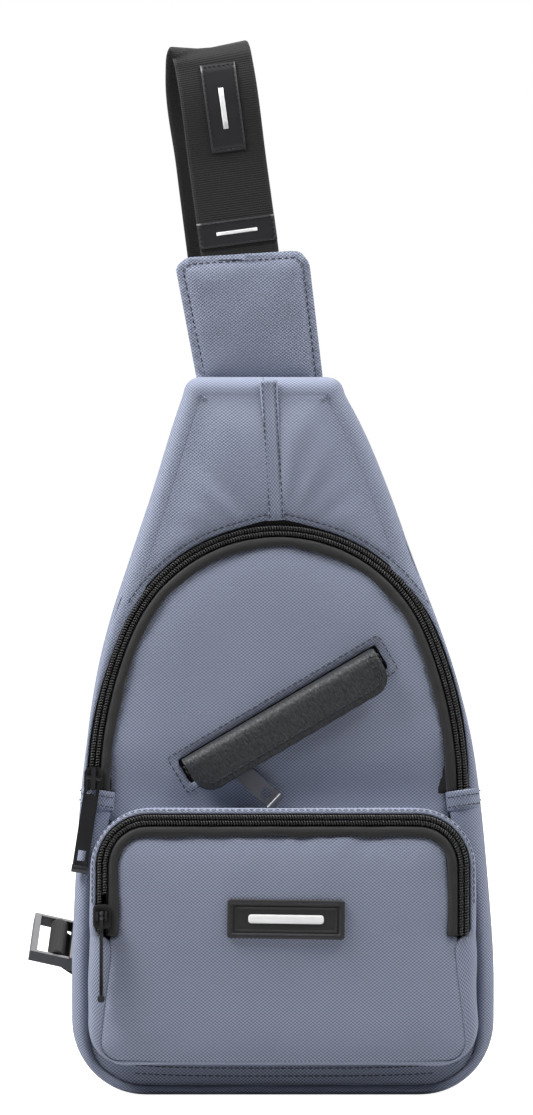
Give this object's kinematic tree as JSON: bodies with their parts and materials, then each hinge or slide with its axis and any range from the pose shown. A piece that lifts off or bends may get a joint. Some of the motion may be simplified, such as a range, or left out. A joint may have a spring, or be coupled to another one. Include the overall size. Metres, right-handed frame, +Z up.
{
  "type": "sling bag",
  "caption": "One-shoulder sling bag: tear-drop fabric body with arched zip flap, zipped front pocket, slanted welt pocket, padded strap base, webbing strap and side-release buckle.",
  "frame": {"origin": "middle of the flat base, on the surface the bag stands on", "axes": "+X to the viewer's right, -Y out of the front, +Z up along the bag and its strap"},
  "size_m": [0.2278, 0.1415, 0.5095],
  "materials": {
    "slate_fabric": "matte woven",
    "lining_fabric": "matte",
    "foam": "soft foam",
    "spacer_mesh": "knitted mesh",
    "zip_tape": "matte woven",
    "zip_coil": "semi gloss",
    "black_metal": "semi gloss black",
    "gunmetal": "satin gunmetal",
    "black_leather": "cross grain",
    "black_rubber": "matte moulded",
    "webbing": "ribbed webbing",
    "label": "woven satin",
    "buckle_plastic": "semi gloss"
  },
  "bodies": {
    "bag": {"upper_panel_left": "slate_fabric", "upper_panel_right": "slate_fabric", "centre_seam_strip": "slate_fabric", "lower_gusset": "slate_fabric", "lower_front_panel": "slate_fabric", "back_panel": "slate_fabric", "zip_end_tab_left": "slate_fabric", "zip_end_tab_right": "slate_fabric", "pocket_gusset": "slate_fabric", "pocket_lower_face": "slate_fabric", "strap_pad_front": "slate_fabric", "strap_pad_back": "slate_fabric", "gusset_lining": "lining_fabric", "front_lining": "lining_fabric", "back_lining": "lining_fabric", "back_foam": "foam", "strap_pad_foam": "foam", "back_mesh_pad": "spacer_mesh", "main_zip_tape_outer": "zip_tape", "pocket_zip_tape_outer": "zip_tape", "main_zip_coil_outer": "zip_coil", "pocket_zip_coil_outer": "zip_coil", "strap_webbing": "webbing", "anchor_tab": "webbing", "strap_band_label": "label", "strap_tall_label": "label", "buckle_socket": "buckle_plastic", "buckle_plug": "buckle_plastic"},
    "main_flap": {"main_flap_panel": "slate_fabric", "flap_lining": "lining_fabric", "main_zip_tape_inner": "zip_tape", "main_zip_coil_inner": "zip_coil", "main_zip_binding": "zip_tape", "slant_zip_tape_upper": "zip_tape", "slant_zip_tape_lower": "zip_tape", "slant_zip_coil_upper": "zip_coil", "slant_zip_coil_lower": "zip_coil", "slant_pouch": "lining_fabric"},
    "pocket_flap": {"pocket_upper_face": "slate_fabric", "pocket_zip_tape_inner": "zip_tape", "pocket_zip_coil_inner": "zip_coil", "pocket_zip_binding": "zip_tape", "rubber_patch": "black_rubber"},
    "welt": {"welt_flap": "black_leather"},
    "main_slider": {"main_slider": "black_metal"},
    "main_pull": {"main_pull": "black_metal"},
    "pocket_slider": {"pocket_slider": "black_metal"},
    "pocket_pull": {"pocket_pull": "black_metal"},
    "slant_slider": {"slant_slider": "black_metal"},
    "slant_pull": {"slant_pull": "gunmetal"},
    "arm_near": {"buckle_arm_near": "buckle_plastic"},
    "arm_far": {"buckle_arm_far": "buckle_plastic"}
  },
  "joints": [
    {"name": "main_flap_fold", "type": "hinge", "parent": "bag", "child": "main_flap", "pos_m": [0, -0.02599, 0.1375], "axis": [1, 0, 0], "range_deg": [0, 75]},
    {"name": "pocket_flap_fold", "type": "hinge", "parent": "bag", "child": "pocket_flap", "pos_m": [0, -0.04942, 0.07631], "axis": [1, 0, 0], "range_deg": [0, 80]},
    {"name": "welt_lift", "type": "hinge", "parent": "main_flap", "child": "welt", "pos_m": [-0.00314, -0.01582, 0.18835], "axis": [-0.8625, -0.0441, -0.5041], "range_deg": [0, 80]},
    {"name": "main_slider_run", "type": "hinge", "parent": "bag", "child": "main_slider", "pos_m": [0.1086, -0.01932, 0.14495], "axis": [0, -0.9962, 0.0872], "range_deg": [-21, 0]},
    {"name": "main_pull_lift", "type": "hinge", "parent": "main_slider", "child": "main_pull", "pos_m": [-0.09128, -0.02269, 0.15227], "axis": [-0.9887, 0.013, 0.1491], "range_deg": [0, 150]},
    {"name": "pocket_slider_run", "type": "slide", "parent": "bag", "child": "pocket_slider", "axis": [0, -0.0872, -0.9962], "range_m": [-0.016, 0]},
    {"name": "pocket_pull_lift", "type": "hinge", "parent": "pocket_slider", "child": "pocket_pull", "pos_m": [-0.0864, -0.05475, 0.08882], "axis": [-1, 0, 0], "range_deg": [0, 150]},
    {"name": "slant_slider_run", "type": "slide", "parent": "main_flap", "child": "slant_slider", "axis": [0.8625, 0.0441, 0.5041], "range_m": [0, 0.082]},
    {"name": "slant_pull_turn", "type": "hinge", "parent": "slant_slider", "child": "slant_pull", "pos_m": [-0.03019, -0.02092, 0.16565], "axis": [0, -0.9962, 0.0872], "range_deg": [0, 35]},
    {"name": "far_arm_squeeze", "type": "hinge", "parent": "bag", "child": "arm_far", "pos_m": [-0.10077, 0.06602, 0.0681], "axis": [-0.2303, 0.3354, -0.9135], "range_deg": [0, 7], "stiffness_Nm_per_rad": 0.05},
    {"name": "near_arm_squeeze", "type": "hinge", "parent": "bag", "child": "arm_near", "pos_m": [-0.1013, 0.03969, 0.05857], "axis": [0.2303, -0.3354, 0.9135], "range_deg": [0, 7], "stiffness_Nm_per_rad": 0.05}
  ],
  "couplings": [
    {"joint": "near_arm_squeeze", "follows": "far_arm_squeeze", "ratio": 1}
  ]
}
